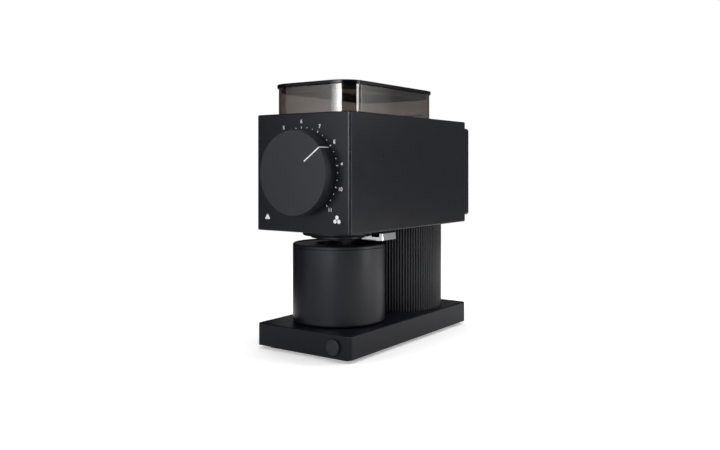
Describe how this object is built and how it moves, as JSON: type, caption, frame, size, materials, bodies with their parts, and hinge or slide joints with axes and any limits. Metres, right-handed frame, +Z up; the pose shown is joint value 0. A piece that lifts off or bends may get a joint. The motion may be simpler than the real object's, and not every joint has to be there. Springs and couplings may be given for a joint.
{
  "type": "countertop coffee grinder",
  "caption": "Electric countertop grinder for coffee: box housing on a fluted column, front grind dial, flat burrs, hopper with lid, lidded cup, start button and chute knocker.",
  "frame": {"origin": "on the standing surface, under the middle of the overall width and of the overall length from the dial's face to the rear cover", "axes": "+X to the right seen from the front, +Y to the back along the drive axis, +Z up; the dial faces -Y"},
  "size_m": [0.105, 0.24, 0.24],
  "materials": {
    "case_black": "fine matte powder coat",
    "moulded_black": "fine moulded texture",
    "hopper_smoke": "smoky clear, polished",
    "rubber_black": "matte",
    "bright_chrome": "polished",
    "steel": "machined",
    "cast_aluminium": "satin, as cast and turned",
    "copper": "enamelled wire and drawn bars",
    "board_green": "solder mask",
    "magnet_grey": "sintered"
  },
  "bodies": {
    "housing": {"base_body": "case_black", "base_bottom_plate": "steel", "bottom_screws": "steel", "rubber_sole": "rubber_black", "dock_magnets": "magnet_grey", "button_spring": "steel", "start_switch": "moulded_black", "cord_gland": "rubber_black", "control_board": "board_green", "column_sleeve": "case_black", "column_screws": "steel", "housing_shell": "case_black", "rear_cover": "moulded_black", "rear_cover_screws": "steel", "front_cap": "moulded_black", "cap_screws": "steel", "burr_chamber": "cast_aluminium", "chamber_screws": "steel", "shaft_seal": "rubber_black", "front_bearing": "steel", "motor_front_plate": "steel", "motor_screws": "steel", "motor_can": "steel", "motor_magnets": "magnet_grey", "brush_gear": "copper", "motor_end_bell": "cast_aluminium", "rear_bearing": "steel", "motor_saddle": "moulded_black", "saddle_screws": "steel", "hopper_bin": "hopper_smoke", "hopper_gasket": "rubber_black", "grounds_chute": "moulded_black", "chute_collar": "moulded_black", "collar_screws": "steel", "knocker_pin": "steel", "knocker_spring": "steel"},
    "dial": {"grind_dial": "moulded_black", "detent_ball": "steel", "detent_spring": "steel", "adjusting_screw": "cast_aluminium"},
    "outer_burr": {"burr_carrier": "cast_aluminium", "stationary_burr": "steel", "stationary_burr_screws": "steel"},
    "rotor": {"drive_shaft": "steel", "auger": "steel", "auger_screw": "steel", "rotor_carrier": "cast_aluminium", "rotating_burr": "steel", "rotating_burr_screws": "steel", "armature_core": "steel", "armature_windings": "copper", "commutator": "copper", "cooling_fan": "moulded_black"},
    "lid": {"hopper_lid": "moulded_black", "lid_seal": "rubber_black"},
    "cup": {"grounds_cup": "case_black", "cup_base_disc": "steel", "cup_lid": "moulded_black"},
    "button": {"start_button": "moulded_black"},
    "knocker": {"knocker_lever": "bright_chrome"}
  },
  "joints": [
    {"name": "dial_turn", "type": "hinge", "parent": "housing", "child": "dial", "pos_m": [0, -0.107, 0.15975], "axis": [0, 1, 0], "range_deg": [-189.2, 81.2]},
    {"name": "burr_travel", "type": "slide", "parent": "housing", "child": "outer_burr", "axis": [0, -1, 0], "range_m": [-0.00105, 0.00045]},
    {"name": "rotor_spin", "type": "hinge", "parent": "housing", "child": "rotor", "pos_m": [0, -0.107, 0.15975], "axis": [0, 1, 0], "continuous": true},
    {"name": "lid_lift", "type": "slide", "parent": "housing", "child": "lid", "axis": [0, 0, 1], "range_m": [0, 0.05]},
    {"name": "cup_slide", "type": "slide", "parent": "housing", "child": "cup", "axis": [0, -1, 0], "range_m": [0, 0.12]},
    {"name": "start_press", "type": "slide", "parent": "housing", "child": "button", "axis": [0, 1, 0], "range_m": [0, 0.0015], "stiffness_N_per_m": 400, "springref_m": -0.003, "deforming": ["button_spring"]},
    {"name": "knocker_press", "type": "hinge", "parent": "housing", "child": "knocker", "pos_m": [0.021, -0.0503, 0.1156], "axis": [0, 1, 0], "range_deg": [0, 5], "stiffness_Nm_per_rad": 0.6, "springref_deg": -3.44, "deforming": ["knocker_spring"]}
  ],
  "couplings": [
    {"joint": "dial_turn", "follows": "burr_travel", "rad_per_m": 3141.6}
  ]
}
